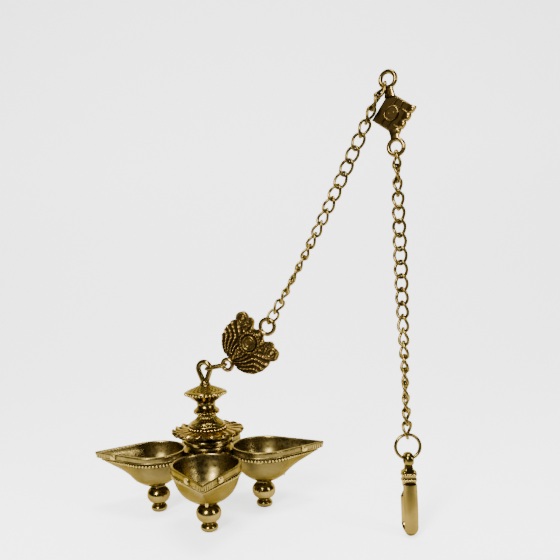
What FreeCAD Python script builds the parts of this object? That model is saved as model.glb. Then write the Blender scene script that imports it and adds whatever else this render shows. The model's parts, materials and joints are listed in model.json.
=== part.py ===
import FreeCAD, Part
import math
import os

V = FreeCAD.Vector

# Hanging oil lamp of cast and turned brass, in millimetres, +Z up.
# The origin is the crown of the square plaque's upper ring, where a peg carries the whole lamp.
# The lamp stands on its four feet below and to one side, and both chains hang from the plaque.

# ---- driving dimensions ----------------------------------------------------------------

GAP = 0.18                 # play between two pieces that hook into each other

# the plane of both chains, turned about the vertical from the lamp's own left-right axis
CHAIN_PLANE = -26.0

# curb chain links: a round wire bent to an oval and twisted a quarter turn end to end
LINK_WIRE = 2.1
LINK_INSIDE = 9.25         # inside length
LINK_HALF_WIDTH = 3.8      # link axis to wire centre, at the middle of a side
LINK_TWIST = -45.0         # each end stands this far out of the link's flat, a left-handed twist
UPPER_LINKS = 21           # between the ceiling hook and the square plaque
LOWER_LINKS = 20           # between the square plaque and the leaf plaque

# how far the chains wind up along their length, as each link's turn about the chain
UPPER_FROM = -121.0        # the first link's end crosses the plaque's ring squarely
UPPER_TO = 109.0           # the last link's end crosses the round ring squarely
LOWER_FROM = -128.0
LOWER_TO = 135.0           # the last link's end crosses the leaf plaque's ring squarely
QUICK_TURN = 24.0          # from link to link beside the plaques
UPPER_QUICK = (3, 0)       # how many quick turns at the start and at the end
LOWER_QUICK = (4, 2)

# the lower chain's fall: the slope of each length is its pull downwards over its pull sideways
SIDE_PULL = 40.0           # in weights of one link
LEAF_WEIGHT = 52.5         # in weights of one link
EYE_SLOPE = 0.17           # of the oval link, at the lamp's eye
LEAF_SLOPE = 39.6          # of the leaf plaque, degrees from level
FIRST_BEARING = 230.0      # where on the plaque's ring the first link hangs, degrees from level
FIRST_LEAN = 27.0          # the first link leans forward so that the chain passes before the plaque
FIRST_GAP = 0.30

# square plaque, hung by one corner
SQUARE_SIDE = 20.8
SQUARE_THICK = 3.0
SQUARE_TILT = 5.0          # its lower corner swings away from the lamp
SQUARE_TURN = -14.0        # its plane is turned this far from the chains' plane
PLATE_BACK = 1.5           # the plate lies behind the middle of its two rings
RING_RADIUS = 5.15         # its two rings, to the wire centre
RING_WIRE = 3.0
RING_OUT = 22.65           # from the plaque's middle to a ring's middle

# leaf plaque
LEAF_LENGTH = 45.8         # between the middles of its two rings
LEAF_THICK = 4.6
LEAF_TOP_RADIUS = 5.65
LEAF_TOP_WIRE = 3.2
LEAF_LOW_RADIUS = 4.2
LEAF_LOW_WIRE = 3.4

# oval link, round ring and ceiling hook
OVAL_WIRE = 2.1
OVAL_WIDTH = 8.6
OVAL_SPAN = 18.2           # between the wire centres of its two ends
ROUND_RADIUS = 8.3         # to the wire centre
ROUND_WIRE = 2.3
HOOK_EYE_RADIUS = 3.3
HOOK_EYE_WIRE = 3.4
HOOK_WIDTH = 9.4
HOOK_LENGTH = 58.2         # from the crown of the eye to the bottom of the bend
HOOK_LIMB = 3.6            # thickness of the bent strip
HOOK_THROAT = 7.4          # clear between its two limbs
HOOK_RETURN = 27.0         # height of the free limb

# lamp, heights above the table
EYE_MIDDLE = 113.6
EYE_RADIUS = 5.3
EYE_WIRE = 4.4
SHANK_RADIUS = 2.5
RIM = 50.7
BOWL_OUT = 44.0            # lamp axis to the middle of a bowl's round end
BOWL_RADIUS = 25.2
BOWL_TIP = 92.0            # lamp axis to the point of a spout
BOWL_WALL = 1.8
BOWL_FLOOR = 22.0
FLANGE_RADIUS = 29.3
FLANGE_TOP = 65.6
FLANGE_LOBES = 18
HUB_RADIUS = 21.0
FOOT_OUT = 42.6            # lamp axis to a foot's axis
FOOT_RADIUS = 9.45
BOWLS = ("right", "back", "left", "front")

# ---- small helpers ----------------------------------------------------------------------


def direction(plan_angle, rise):
    """A unit vector from its bearing about Z and its slope over level, in degrees."""
    a, r = math.radians(plan_angle), math.radians(rise)
    return V(math.cos(r) * math.cos(a), math.cos(r) * math.sin(a), math.sin(r))


def placed(shape, origin, x, z):
    """A copy of a shape whose own X and Z axes lie along x and z, with its origin at origin."""
    z = V(z).normalize()
    x = V(x).normalize()
    y = z.cross(x).normalize()
    x = y.cross(z)
    m = FreeCAD.Matrix(x.x, y.x, z.x, origin.x,
                       x.y, y.y, z.y, origin.y,
                       x.z, y.z, z.z, origin.z,
                       0, 0, 0, 1)
    out = shape.copy()
    out.Placement = FreeCAD.Placement(m).multiply(out.Placement)
    return out


def turned(points, bore=0.0):
    """A solid of revolution about Z. A point is (radius, height), or ('arc', through, end)."""
    edges = []
    last = V(points[0][0], 0, points[0][1])
    for p in points[1:]:
        if p[0] == "arc":
            through, end = V(p[1][0], 0, p[1][1]), V(p[2][0], 0, p[2][1])
            edges.append(Part.Arc(last, through, end).toShape())
        else:
            end = V(p[0], 0, p[1])
            edges.append(Part.LineSegment(last, end).toShape())
        last = end
    top = V(bore, 0, last.z)
    bottom = V(bore, 0, points[0][1])
    if last.distanceToPoint(top) > 1e-6:
        edges.append(Part.LineSegment(last, top).toShape())
    edges.append(Part.LineSegment(top, bottom).toShape())
    first = V(points[0][0], 0, points[0][1])
    if first.distanceToPoint(bottom) > 1e-6:
        edges.append(Part.LineSegment(bottom, first).toShape())
    face = Part.Face(Part.Wire(edges))
    return face.revolve(V(0, 0, 0), V(0, 0, 1), 360)


def bent_wire(start, heading, end, wire):
    """One arc of round wire that leaves start along heading and arrives at end."""
    chord = end - start
    side = (chord - heading * chord.dot(heading)).normalize()
    half = chord.getAngle(heading)
    radius = chord.Length / 2 / math.sin(half)
    face = Part.Face(Part.Wire(Part.makeCircle(wire / 2, start, heading)))
    return face.revolve(start + side * radius, heading.cross(side), math.degrees(2 * half))


def joint_of_arcs(start, heading, end, arrival):
    """Where two arcs meet that leave start along heading and reach end along arrival."""
    span = end - start
    both = heading + arrival
    a = both.dot(both) - 4
    b = -2 * span.dot(both)
    c = span.dot(span)
    reach = (-b - math.sqrt(b * b - 4 * a * c)) / (2 * a)
    if reach < 0:
        reach = (-b + math.sqrt(b * b - 4 * a * c)) / (2 * a)
    first, second = start + heading * reach, end - arrival * reach
    return (first + second) * 0.5, (second - first).normalize()


def fused(pieces):
    solid = pieces[0].fuse(pieces[1:]).removeSplitter()
    return solid.Solids[0] if len(solid.Solids) == 1 else solid


def extruded(edges, thickness):
    """A flat plate about the XZ plane from a closed outline of edges in that plane."""
    face = Part.Face(Part.Wire(edges))
    face.translate(V(0, -thickness / 2, 0))
    return face.extrude(V(0, thickness, 0))


# ---- pieces of the chain, each about its own origin --------------------------------------


def curb_link():
    """A twisted link about its middle: ends up and down Z, flat side facing Y."""
    end_height = LINK_INSIDE / 2 + LINK_WIRE / 2
    twist = math.radians(LINK_TWIST)
    lean = math.atan(LINK_HALF_WIDTH * twist / end_height)
    top = V(0, 0, end_height)
    across = V(math.cos(twist), math.sin(twist), 0)
    side = V(LINK_HALF_WIDTH, 0, 0)
    down = V(0, -math.sin(lean), -math.cos(lean))
    meet, heading = joint_of_arcs(top, across, side, down)
    quarter = [bent_wire(top, across, meet, LINK_WIRE), bent_wire(meet, heading, side, LINK_WIRE)]
    pieces = []
    for piece in quarter:
        for about in (None, V(1, 0, 0), V(0, 1, 0), V(0, 0, 1)):
            copy = piece.copy()
            if about:
                copy.rotate(V(0, 0, 0), about, 180)
            pieces.append(copy)
    return fused(pieces)


def long_link(length, width, wire):
    """A flat oval link in the XZ plane, its two round ends at +Z and -Z."""
    r = (width - wire) / 2
    h = (length - wire) / 2 - r
    face = Part.Face(Part.Wire(Part.makeCircle(wire / 2, V(r, 0, -h), V(0, 0, 1))))
    side = face.extrude(V(0, 0, 2 * h))
    top = Part.Face(Part.Wire(Part.makeCircle(wire / 2, V(r, 0, h), V(0, 0, 1))))
    bend = top.revolve(V(0, 0, h), V(0, -1, 0), 180)
    half = [side, bend]
    other = [p.copy() for p in half]
    for p in other:
        p.rotate(V(0, 0, 0), V(0, 1, 0), 180)
    return fused(half + other)


def drop_ring(radius, wire, neck):
    """A ring in the XZ plane about the origin, drawn down to a flat neck that ends at Z = -neck."""
    ring = Part.makeTorus(radius, wire / 2, V(0, 0, 0), V(0, 1, 0))
    top, foot, thick = 2.3, 3.2, wire * 0.8
    outline = [V(-top, -thick / 2, 1 - radius), V(top, -thick / 2, 1 - radius),
               V(foot, -thick / 2, -neck), V(-foot, -thick / 2, -neck)]
    web = Part.Face(Part.makePolygon(outline + outline[:1])).extrude(V(0, thick, 0))
    return fused([ring, web])


def square_plaque():
    """The plaque about the middle between its rings, corners up and down Z, its face towards -Y."""
    half = SQUARE_SIDE / 2
    front = PLATE_BACK - SQUARE_THICK / 2
    pieces = [Part.makeBox(SQUARE_SIDE, SQUARE_THICK, SQUARE_SIDE, V(-half, front, -half))]
    ridge, relief = 0.9, 0.7
    for across in (-5.4, -2.6, 2.6, 5.4):
        pieces.append(Part.makeBox(ridge, SQUARE_THICK, SQUARE_SIDE - 1.0,
                                   V(across - ridge / 2, front - relief, 0.5 - half)))
    boss = 4.9
    pieces.append(Part.makeCylinder(boss, SQUARE_THICK, V(0, front - 1.6, 0), V(0, 1, 0)))
    lobe = SQUARE_SIDE / 8
    for k in range(4):
        height = (2 * k - 3) * lobe
        pieces.append(Part.makeCylinder(lobe - 0.15, SQUARE_THICK, V(half, front, height), V(0, 1, 0)))
    body = fused(pieces)
    body.rotate(V(0, 0, 0), V(0, 1, 0), 45)
    ring = drop_ring(RING_RADIUS, RING_WIRE, RING_OUT - SQUARE_SIDE / math.sqrt(2) + 2.0)
    upper = ring.copy()
    upper.translate(V(0, 0, RING_OUT))
    lower = ring.copy()
    lower.rotate(V(0, 0, 0), V(0, 1, 0), 180)
    lower.translate(V(0, 0, -RING_OUT))
    return fused([body, upper, lower])


def leaf_outline():
    """One half of the fan-shaped leaf, as arcs from the lower tip to the upper root (across, along)."""
    return [((2.2, 5.0), (11.5, 6.2), (17.0, 9.5)),
            ((17.0, 9.5), (22.6, 20.5), (21.5, 30.5)),
            ((21.5, 30.5), (22.4, 38.2), (15.8, 39.6)),
            ((15.8, 39.6), (11.6, 41.4), (8.6, 37.6)),
            ((8.6, 37.6), (6.0, 37.4), (3.0, 40.0))]


def leaf_plaque():
    """The leaf plaque with its lower ring's middle at the origin and its length along Z."""
    edges = []
    for side in (1, -1):
        for a, b, c in leaf_outline():
            points = [V(side * p[0], 0, p[1]) for p in (a, b, c)]
            edges.append(Part.Arc(*points).toShape())
    low, high = leaf_outline()[0][0], leaf_outline()[-1][2]
    edges.append(Part.LineSegment(V(-low[0], 0, low[1]), V(low[0], 0, low[1])).toShape())
    edges.append(Part.LineSegment(V(-high[0], 0, high[1]), V(high[0], 0, high[1])).toShape())
    plate = extruded(Part.__sortEdges__(edges), LEAF_THICK - 1.4)
    boss = Part.makeCylinder(5.3, LEAF_THICK + 2.4, V(0, -LEAF_THICK / 2 - 1.2, 26.5), V(0, 1, 0))
    collar = Part.makeCylinder(7.2, LEAF_THICK, V(0, -LEAF_THICK / 2, 26.5), V(0, 1, 0))
    pieces = [plate, boss, collar]
    for side in (1, -1):
        scroll = V(side * 17.3, -LEAF_THICK / 2 - 0.4, 35.2)
        pieces.append(Part.makeCylinder(3.9, LEAF_THICK + 0.8, scroll, V(0, 1, 0)))
    top = Part.makeTorus(LEAF_TOP_RADIUS, LEAF_TOP_WIRE / 2, V(0, 0, LEAF_LENGTH), V(0, 1, 0))
    bottom = Part.makeTorus(LEAF_LOW_RADIUS, LEAF_LOW_WIRE / 2, V(0, 0, 0), V(0, 1, 0))
    return fused(pieces + [top, bottom])


def ceiling_hook():
    """The ceiling hook with the middle of its eye at the origin; the eye lies across X."""
    eye = Part.makeTorus(HOOK_EYE_RADIUS, HOOK_EYE_WIRE / 2, V(0, 0, 0), V(1, 0, 0))
    crown = HOOK_EYE_RADIUS + HOOK_EYE_WIRE / 2
    depth = 7.0
    neck = Part.makeCone(3.3, 4.0, 3.6, V(0, 0, -HOOK_EYE_RADIUS - 0.6), V(0, 0, -1))
    collar_top = -HOOK_EYE_RADIUS - 3.6
    pieces = [eye, neck]
    z = collar_top
    for width, thick, height in ((10.4, depth, 3.0), (9.8, depth - 0.6, 1.4), (10.2, depth - 0.2, 2.6),
                                 (9.2, depth - 1.0, 2.4)):
        block = Part.makeBox(width, thick, height, V(-width / 2, -thick / 2, z - height))
        rounded = block.makeFillet(min(height, thick) * 0.3, [e for e in block.Edges
                                   if abs(e.tangentAt(e.FirstParameter).z) > 0.9])
        pieces.append(rounded)
        z -= height
    # the strip: straight front limb, half-round bend, straight free limb behind it
    bottom = crown - HOOK_LENGTH
    bend = HOOK_THROAT / 2 + HOOK_LIMB / 2
    front_y = -2.0
    centre = V(0, front_y + bend, bottom + HOOK_LIMB / 2 + bend)

    def strip(y, z):
        """The strip's section: flat inside, crowned outside, across X at the given place."""
        w, t = HOOK_WIDTH / 2, HOOK_LIMB / 2
        a, b = V(-w, y + t, z), V(w, y + t, z)
        c, d = V(w, y - t * 0.1, z), V(-w, y - t * 0.1, z)
        edges = [Part.LineSegment(a, b).toShape(), Part.LineSegment(b, c).toShape(),
                 Part.Arc(c, V(0, y - t, z), d).toShape(), Part.LineSegment(d, a).toShape()]
        return Part.Face(Part.Wire(edges))

    section = strip(front_y, centre.z)
    front = section.extrude(V(0, 0, z - centre.z + 1.0))
    turn = section.revolve(centre, V(1, 0, 0), 180)
    back = section.copy()
    back.rotate(centre, V(1, 0, 0), 180)
    back = back.extrude(V(0, 0, HOOK_RETURN - bend - HOOK_LIMB / 2))
    return fused(pieces + [front, turn, back])


# ---- pieces of the lamp, about its axis, with the table at Z = 0 ---------------------------


def suspension_eye():
    """The drop-shaped eye and the long shank under it that ties the column together."""
    ring = Part.makeTorus(EYE_RADIUS, EYE_WIRE / 2, V(0, 0, EYE_MIDDLE), V(0, 1, 0))
    foot = V(0, 0, 102.4)
    pieces = [ring]
    for side in (1, -1):
        shoulder = V(side * EYE_RADIUS * math.cos(math.radians(20)), 0,
                     EYE_MIDDLE - EYE_RADIUS * math.sin(math.radians(20)))
        base = foot + V(side * 0.9, 0, 0)
        run = base - shoulder
        pieces.append(Part.makeCone(EYE_WIRE / 2, EYE_WIRE * 0.42, run.Length, shoulder, run))
    pieces.append(turned([(SHANK_RADIUS, 27.0), (SHANK_RADIUS, 101.4), (4.2, 101.4), (4.2, 102.0),
                          (3.0, 103.6)]))
    return fused(pieces)


def saucer():
    return turned([(7.6, 86.2), (8.0, 87.4), (15.6, 93.2), ("arc", (17.0, 94.4), (16.0, 95.6)),
                   (5.2, 100.2), (4.4, 101.4)], SHANK_RADIUS)


def stem():
    """The turned column: neck, sharp-edged knop, neck, and a bell that steps out to the flange."""
    return turned([(12.6, FLANGE_TOP + 0.9), (12.6, 67.4), ("arc", (13.8, 68.4), (12.8, 69.4)),
                   (11.9, 70.0), ("arc", (12.5, 70.9), (11.6, 71.8)), ("arc", (8.6, 73.6), (7.6, 76.4)),
                   (7.6, 77.6), (9.4, 79.2), ("arc", (10.7, 80.3), (9.8, 81.4)),
                   ("arc", (7.8, 83.0), (7.4, 84.6)), (7.6, 86.2)], SHANK_RADIUS)


def lotus_flange():
    """A shallow dish with a scalloped edge that sits under the column."""
    body = turned([(13.0, 60.8), (22.0, 61.4), ("arc", (27.0, 62.2), (28.4, 63.4)),
                   ("arc", (28.9, 64.6), (28.0, 65.6)), ("arc", (20.0, 64.6), (14.6, FLANGE_TOP)),
                   (14.6, FLANGE_TOP + 0.9)], SHANK_RADIUS)
    pieces = [body]
    for k in range(FLANGE_LOBES):
        a = 2 * math.pi * k / FLANGE_LOBES
        out = FLANGE_RADIUS - 1.8
        pieces.append(Part.makeSphere(1.9, V(out * math.cos(a), out * math.sin(a), 64.3)))
    return fused(pieces)


BOWL_SECTIONS = ((RIM, BOWL_RADIUS, BOWL_TIP), (46.0, 24.4, 90.4), (40.6, 21.8, 78.5),
                 (35.4, 18.9, 66.8), (30.6, 14.8, 60.4), (26.6, 10.4, 55.4), (BOWL_FLOOR, 7.4, 51.8))


def bowl_section(height, radius, tip):
    """A level outline of the bowl: round about its middle, drawn out to the spout along +X."""
    points = []
    steps = 36
    reach = tip - BOWL_OUT
    for k in range(steps):
        a = 2 * math.pi * k / steps
        off = abs((a + math.pi) % (2 * math.pi) - math.pi)
        rho = radius
        if reach > radius * 1.02:
            touch = math.acos(radius / reach)
            if off < touch:
                rho = radius / math.cos(touch - off)
        points.append(V(BOWL_OUT + rho * math.cos(a), rho * math.sin(a), height))
    curve = Part.BSplineCurve()
    curve.interpolate(points, PeriodicFlag=True)
    return Part.Wire(curve.toShape())


def bowl_form(inset):
    """The bowl's outer form, or its hollow when inset by the wall."""
    wires = []
    for height, radius, tip in BOWL_SECTIONS:
        lift = inset * (RIM - height) / (RIM - BOWL_FLOOR)
        wires.append(bowl_section(height + lift, radius - inset, tip - 2.0 * inset))
    if inset:
        wires.insert(0, bowl_section(RIM + 2.0, BOWL_RADIUS - inset, BOWL_TIP - 2.0 * inset))
    return Part.makeLoft(wires, True, False)


def bowl():
    return bowl_form(0.0).cut(bowl_form(BOWL_WALL))


def foot():
    """A turned foot under a bowl: lens-shaped pad, oblate ball, neck."""
    shape = turned([(3.4, 0.0), (5.4, 0.9), ("arc", (6.5, 3.2), (5.3, 5.4)), (4.2, 6.2), (4.2, 7.0),
                    ("arc", (FOOT_RADIUS, 13.8), (5.0, 20.2)), (5.2, 20.8), (5.9, 21.2),
                    (5.9, BOWL_FLOOR)])
    shape.translate(V(FOOT_OUT, 0, 0))
    return shape


def hub(bowls):
    """The collar under the flange and the post that the four bowls are brazed to."""
    shape = turned([(8.0, 32.0), ("arc", (15.0, 34.5), (HUB_RADIUS, 42.0)), (HUB_RADIUS, 50.0),
                    (18.0, 52.0), (17.6, 53.4), (19.2, 54.6), ("arc", (19.9, 57.0), (19.2, 59.2)),
                    (17.4, 60.8)], SHANK_RADIUS)
    for form in bowls:
        shape = shape.cut(form)
    return max(shape.Solids, key=lambda s: s.Volume)


def rod_nut():
    """The dome nut on the shank under the hub."""
    return turned([(5.6, 28.0), ("arc", (6.6, 29.6), (6.2, 31.0)), (6.2, 32.0)], SHANK_RADIUS)


# ---- where each piece hangs -----------------------------------------------------------------

plane = direction(CHAIN_PLANE, 0)          # level, along the chain plane, away from the lamp
normal = direction(CHAIN_PLANE + 90, 0)
square_plane = direction(CHAIN_PLANE + SQUARE_TURN, 0)
square_normal = direction(CHAIN_PLANE + SQUARE_TURN + 90, 0)
up = V(0, 0, 1)
end_height = LINK_INSIDE / 2 + LINK_WIRE / 2

tilt = math.radians(SQUARE_TILT)
square_axis = square_plane * -math.sin(tilt) + up * math.cos(tilt)
upper_ring = up * -(RING_RADIUS - RING_WIRE / 2)
square_middle = upper_ring - square_axis * RING_OUT
lower_ring = square_middle - square_axis * RING_OUT

hinges = []     # (parent, child, point, axis)
places = []     # (node, origin, x, z) of each chain link


def turns(links, first, last, quick):
    """Each link's turn about the chain: quick steps at both ends, even steps between them."""
    slow = (last - first - QUICK_TURN * sum(quick)) / (links - 1 - sum(quick))
    steps = [QUICK_TURN] * quick[0] + [slow] * (links - 1 - sum(quick)) + [QUICK_TURN] * quick[1]
    return [first + sum(steps[:k]) for k in range(links)]


def flat_facing(along, turn):
    """The direction across a link's flat: in the chain's plane, then turned about the link's length."""
    across = along.cross(normal).normalize()
    a = math.radians(turn)
    return across * math.cos(a) + along.cross(across) * math.sin(a)


def hang_link(name, point, clear, along, turn):
    """Hang one curb link on the wire at point; returns the middle and direction of its lower wire."""
    middle = point + along * (LINK_INSIDE / 2 - clear)
    own = flat_facing(along, turn)
    places.append((name, middle, own, along * -1))
    t = math.radians(LINK_TWIST)
    lower_wire = own * math.cos(t) + along.cross(own) * math.sin(t)
    return middle + along * end_height, lower_wire


def hang_chain(name, point, clear, falls, turning, swing, about):
    """Hang a whole chain below the square plaque; the first link swings on a line through about."""
    parent = "square_plaque"
    for k, (along, turn) in enumerate(zip(falls, turning), 1):
        child = f"{name}_{k:02d}"
        hinges.append((parent, child, about, swing))
        point, swing = hang_link(child, point, clear, along, turn)
        parent, about, clear = child, point, LINK_WIRE / 2 + GAP
    return parent, point, swing


# the upper chain, straight down from the plaque's lower ring
ring_foot = lower_ring - up * RING_RADIUS
parent, at, axis = hang_chain("upper_link", ring_foot, RING_WIRE / 2 + GAP, [up * -1] * UPPER_LINKS,
                              turns(UPPER_LINKS, UPPER_FROM, UPPER_TO, UPPER_QUICK),
                              square_plane, ring_foot)
ring_middle = at + up * (LINK_WIRE / 2 + ROUND_WIRE / 2 + GAP) - up * ROUND_RADIUS
hinges.append((parent, "round_ring", at, axis))
eye_at = ring_middle - up * ROUND_RADIUS
hook_middle = eye_at + up * (ROUND_WIRE / 2 + HOOK_EYE_WIRE / 2 + GAP) - up * HOOK_EYE_RADIUS
hinges.append(("round_ring", "ceiling_hook", eye_at, V(1, 0, 0)))

# the lower chain falls from the plaque's upper ring to the leaf plaque, ever less steeply
slopes = [EYE_SLOPE + (LEAF_WEIGHT + 1.5 + LOWER_LINKS - k) / SIDE_PULL for k in range(1, LOWER_LINKS + 1)]
fall = [plane * -math.cos(math.atan(s)) - up * math.sin(math.atan(s)) for s in slopes]
lean, bearing = math.radians(FIRST_LEAN), math.radians(FIRST_BEARING)
fall[0] = fall[0] * math.cos(lean) - normal * math.sin(lean)
ring_side = upper_ring + (square_plane * math.cos(bearing) + up * math.sin(bearing)) * RING_RADIUS
parent, at, axis = hang_chain("lower_link", ring_side, RING_WIRE / 2 + FIRST_GAP, fall,
                              turns(LOWER_LINKS, LOWER_FROM, LOWER_TO, LOWER_QUICK),
                              square_normal, upper_ring)
hinges.append((parent, "leaf_plaque", at, axis))
leaf_top = at - fall[-1] * (LINK_WIRE / 2 + LEAF_TOP_WIRE / 2 + GAP - LEAF_TOP_RADIUS)
leaf_fall = plane * -math.cos(math.radians(LEAF_SLOPE)) - up * math.sin(math.radians(LEAF_SLOPE))
leaf_low = leaf_top + leaf_fall * LEAF_LENGTH
oval_fall = plane * -math.cos(math.atan(EYE_SLOPE)) - up * math.sin(math.atan(EYE_SLOPE))
low_limb = leaf_low + oval_fall * LEAF_LOW_RADIUS
hinges.append(("leaf_plaque", "oval_link", low_limb, normal))
oval_start = low_limb - oval_fall * (LEAF_LOW_WIRE / 2 + OVAL_WIRE / 2 + GAP)
oval_end = oval_start + oval_fall * OVAL_SPAN
eye_limb = oval_end - oval_fall * (OVAL_WIRE / 2 + EYE_WIRE / 2 + GAP)
hinges.append(("oval_link", "lamp", oval_end, normal))
eye_middle = eye_limb + oval_fall * EYE_RADIUS
lamp_foot = V(eye_middle.x, eye_middle.y, eye_middle.z - EYE_MIDDLE)

# ---- build and write ----------------------------------------------------------------------


def write(name, shape):
    shape.exportStep(f"parts/{name}.step")
    print(f"{name}: {len(shape.Solids)} solid, valid {shape.isValid()}, {shape.Volume:.0f} mm3")


def main():
    os.makedirs("parts", exist_ok=True)
    link = curb_link()
    for name, origin, x, z in places:
        write(name, placed(link, origin, x, z))
    write("square_plaque", placed(square_plaque(), square_middle, square_plane, square_axis))
    write("leaf_plaque", placed(leaf_plaque(), leaf_low, normal.cross(leaf_fall * -1), leaf_fall * -1))
    oval = long_link(OVAL_SPAN + OVAL_WIRE, OVAL_WIDTH, OVAL_WIRE)
    write("oval_link", placed(oval, (oval_start + oval_end) * 0.5, normal, oval_fall))
    write("round_ring", Part.makeTorus(ROUND_RADIUS, ROUND_WIRE / 2, ring_middle, V(0, 1, 0)))
    write("ceiling_hook", placed(ceiling_hook(), hook_middle, V(1, 0, 0), up))

    lamp = {"suspension_eye": suspension_eye(), "saucer": saucer(), "stem": stem(),
            "lotus_flange": lotus_flange(), "rod_nut": rod_nut()}
    shell, outer, leg = bowl(), bowl_form(0.0), foot()
    forms = []
    for k, side in enumerate(BOWLS):
        for kind, shape in (("bowl", shell), ("foot", leg)):
            copy = shape.copy()
            copy.rotate(V(0, 0, 0), up, 90 * k)
            lamp[f"{kind}_{side}"] = copy
        form = outer.copy()
        form.rotate(V(0, 0, 0), up, 90 * k)
        forms.append(form)
    lamp["hub"] = hub(forms)
    eye = lamp["suspension_eye"]
    eye.rotate(V(0, 0, 0), up, CHAIN_PLANE)
    for name, shape in lamp.items():
        shape.translate(lamp_foot)
        write(name, shape)
    print("table at", round(lamp_foot.z, 2), "lamp axis", round(lamp_foot.x, 2), round(lamp_foot.y, 2))
    hook_bottom = hook_middle.z + HOOK_EYE_RADIUS + HOOK_EYE_WIRE / 2 - HOOK_LENGTH
    print("hook clears the table by", round(hook_bottom - lamp_foot.z, 2))


main()
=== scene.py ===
# %% [markdown]
# # A hanging brass oil lamp
# The lamp has four spouted oil bowls round a turned column. Two curb chains meet at a square cast
# plaque. One chain carries the lamp through a leaf-shaped plaque, and the other ends in a ceiling hook.
# The engineering model gives every piece its place. This lesson gives each one its real surface:
# smooth wire, crisp turning, cast relief with beads, and aged brass that is dark in the recesses with patina
# and painted shade.

# %% Load the engineering model
import json
import math
import bmesh
import bpy
import numpy as np
from mathutils import Matrix, Quaternion, Vector


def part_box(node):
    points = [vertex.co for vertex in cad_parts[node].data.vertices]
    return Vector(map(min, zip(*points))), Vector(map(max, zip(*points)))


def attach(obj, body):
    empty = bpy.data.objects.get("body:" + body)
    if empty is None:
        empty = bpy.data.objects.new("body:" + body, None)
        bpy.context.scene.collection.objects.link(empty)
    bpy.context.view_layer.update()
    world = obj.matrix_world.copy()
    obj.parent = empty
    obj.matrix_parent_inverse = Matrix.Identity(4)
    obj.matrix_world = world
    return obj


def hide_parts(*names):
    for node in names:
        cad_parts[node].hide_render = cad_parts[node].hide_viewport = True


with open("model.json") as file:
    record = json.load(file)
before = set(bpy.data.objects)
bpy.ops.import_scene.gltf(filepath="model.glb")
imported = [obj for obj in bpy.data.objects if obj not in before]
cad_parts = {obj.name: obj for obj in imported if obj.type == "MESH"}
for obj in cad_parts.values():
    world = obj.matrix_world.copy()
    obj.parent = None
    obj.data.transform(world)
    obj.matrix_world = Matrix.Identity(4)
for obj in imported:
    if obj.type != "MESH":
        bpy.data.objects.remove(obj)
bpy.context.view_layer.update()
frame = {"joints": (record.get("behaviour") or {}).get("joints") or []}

MM = 0.001
hinge_of = {j["child"]: j for j in frame["joints"]}

# %% [markdown]
# ## Where things are
# The lamp's axis and the table come from the boxes of its own turned pieces, so nothing here has to be
# measured twice. The two chains lie in one upright plane, and the frame's Z is up.

# %% The lamp's axis and the table
low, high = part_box("saucer")
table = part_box("foot_front")[0].z
lamp_axis = Vector(((low.x + high.x) / 2, (low.y + high.y) / 2, table))
PLANE = math.radians(-26.0)          # bearing of the chains' plane
SQUARE_PLANE = math.radians(-40.0)   # bearing of the square plaque's plane
along_plane = Vector((math.cos(PLANE), math.sin(PLANE), 0))
up = Vector((0, 0, 1))
print("lamp axis", [round(v, 4) for v in lamp_axis])


def joint_at(child):
    """The point and direction of the hinge that carries a body."""
    j = hinge_of[child]
    return Vector(j["pos_m"]), Vector(j["axis"]).normalized()


def axes_matrix(origin, x, z):
    """A placing matrix whose own X and Z lie along x and z."""
    z = Vector(z).normalized()
    y = z.cross(Vector(x)).normalized()
    x = y.cross(z)
    m = Matrix((x, y, z)).transposed().to_4x4()
    m.translation = origin
    return m


# %% [markdown]
# ## Aged brass
# Brass that has hung for years is never one colour. Its proud edges are rubbed to pale gold, its broad
# faces turn olive, and brown patina stays in the corners. The material mixes three colours:
# a cloudy noise moves between gold and olive, and ambient occlusion finds the corners and darkens them,
# painted shade laid over the patina. Cast relief also carries its own attribute called "recess", worked out
# from its height. Above 0 the metal goes dark with patina and painted shade, and below 0 it is painted
# bright, a painted highlight on the rubbed edges.

# %% The brass material


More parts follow.
